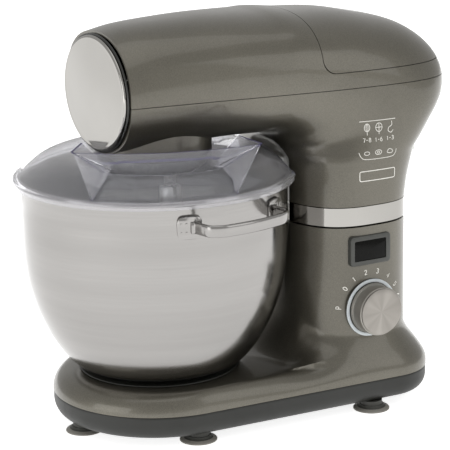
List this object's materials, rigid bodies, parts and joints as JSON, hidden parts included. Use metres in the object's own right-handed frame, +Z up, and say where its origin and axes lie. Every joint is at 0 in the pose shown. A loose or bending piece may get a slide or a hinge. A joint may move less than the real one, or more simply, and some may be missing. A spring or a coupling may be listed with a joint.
{
  "type": "stand mixer",
  "caption": "Tilting-head stand mixer: rounded head and column on a wide foot, lock-in steel bowl with handle, clear splash guard with pouring chute, side speed knob and small display.",
  "frame": {"origin": "middle of the overall footprint, on the surface the feet stand on", "axes": "+Z up, +Y from the nose towards the back, +X towards the side with the knob and display"},
  "size_m": [0.257, 0.385, 0.3498],
  "materials": {
    "paint": "metallic taupe-grey lacquer, satin gloss",
    "tray_plastic": "fine moulded texture",
    "display_plastic": "dark tinted gloss window",
    "rubber": "soft grey, matt",
    "bright_trim": "bright plated",
    "stainless": "polished with fine circular brushing",
    "knob_plastic": "dark metallic side",
    "knob_face": "radially brushed",
    "dial_plastic": "pale translucent",
    "lever_plastic": "pale translucent",
    "clear_plastic": "clear, tinted edges",
    "cast_alloy": "cast, satin",
    "machined_steel": "machined",
    "moulded_black": "moulded",
    "belt_rubber": "matt black",
    "winding": "enamelled copper winding",
    "circuit_board": "lacquered board"
  },
  "bodies": {
    "base": {"base_shell": "paint", "base_tray": "tray_plastic", "foot_front": "rubber", "foot_mid_right": "rubber", "foot_mid_left": "rubber", "foot_rear_right": "rubber", "foot_rear_left": "rubber", "bowl_lock_ring": "tray_plastic", "hinge_bracket": "cast_alloy", "hinge_pin": "machined_steel", "tilt_spring": "machined_steel", "latch_catch": "machined_steel", "control_board": "circuit_board", "speed_encoder": "machined_steel", "display_window": "display_plastic", "display_bezel": "tray_plastic", "dial_ring": "dial_plastic", "cord_gland": "moulded_black"},
    "bowl": {"mixing_bowl": "stainless", "bowl_foot_ring": "stainless", "bowl_handle": "stainless"},
    "knob": {"speed_knob": "knob_plastic", "knob_cap": "knob_face"},
    "head": {"head_lower_shell": "paint", "head_upper_shell": "paint", "column_band": "bright_trim", "nose_ring": "tray_plastic", "nose_cap": "bright_trim", "splash_guard": "clear_plastic", "pouring_chute": "clear_plastic", "drive_frame": "cast_alloy", "ring_gear": "machined_steel", "main_bearing": "machined_steel", "top_bearing_block": "cast_alloy", "drive_belt": "belt_rubber", "motor_stator": "winding", "lever_pin": "machined_steel", "lever_spring": "machined_steel"},
    "cover": {"rear_cover": "paint"},
    "lever": {"release_lever": "lever_plastic", "latch_hook": "machined_steel"},
    "hub": {"planet_hub": "cast_alloy", "main_shaft": "machined_steel", "large_pulley": "moulded_black"},
    "tool": {"tool_shaft": "machined_steel", "planet_pinion": "machined_steel", "drive_pin": "machined_steel", "flat_beater": "cast_alloy"},
    "rotor": {"motor_rotor": "machined_steel", "motor_pulley": "machined_steel", "cooling_fan": "moulded_black", "jug_coupling": "moulded_black"}
  },
  "joints": [
    {"name": "head_tilt", "type": "hinge", "parent": "base", "child": "head", "pos_m": [-0.00849, 0.13348, 0.166], "axis": [-1, 0, 0], "range_deg": [0, 40]},
    {"name": "speed_knob_turn", "type": "hinge", "parent": "base", "child": "knob", "pos_m": [0.08951, 0.09018, 0.093], "axis": [-1, 0, 0], "range_deg": [-33, 168]},
    {"name": "bowl_twist", "type": "hinge", "parent": "base", "child": "bowl", "pos_m": [-0.00849, -0.07252, 0.05], "axis": [0, 0, 1], "range_deg": [-25, 0]},
    {"name": "rear_cover_lift", "type": "slide", "parent": "head", "child": "cover", "axis": [0, 0, 1], "range_m": [0, 0.1]},
    {"name": "release_lever_press", "type": "hinge", "parent": "head", "child": "lever", "pos_m": [-0.00849, 0.14148, 0.213], "axis": [-1, 0, 0], "range_deg": [0, 10], "stiffness_Nm_per_rad": 0.5, "springref_deg": -11.46},
    {"name": "planet_hub_spin", "type": "hinge", "parent": "head", "child": "hub", "pos_m": [-0.00849, -0.07252, 0.231], "axis": [0, 0, 1], "continuous": true},
    {"name": "tool_spin", "type": "hinge", "parent": "hub", "child": "tool", "pos_m": [0.01951, -0.07252, 0.231], "axis": [0, 0, 1], "continuous": true},
    {"name": "motor_spin", "type": "hinge", "parent": "head", "child": "rotor", "pos_m": [-0.00849, 0.08248, 0.231], "axis": [0, 0, 1], "continuous": true}
  ],
  "couplings": [
    {"joint": "tool_spin", "follows": "planet_hub_spin", "ratio": -3.3333},
    {"joint": "motor_spin", "follows": "planet_hub_spin", "ratio": 4.8889}
  ]
}
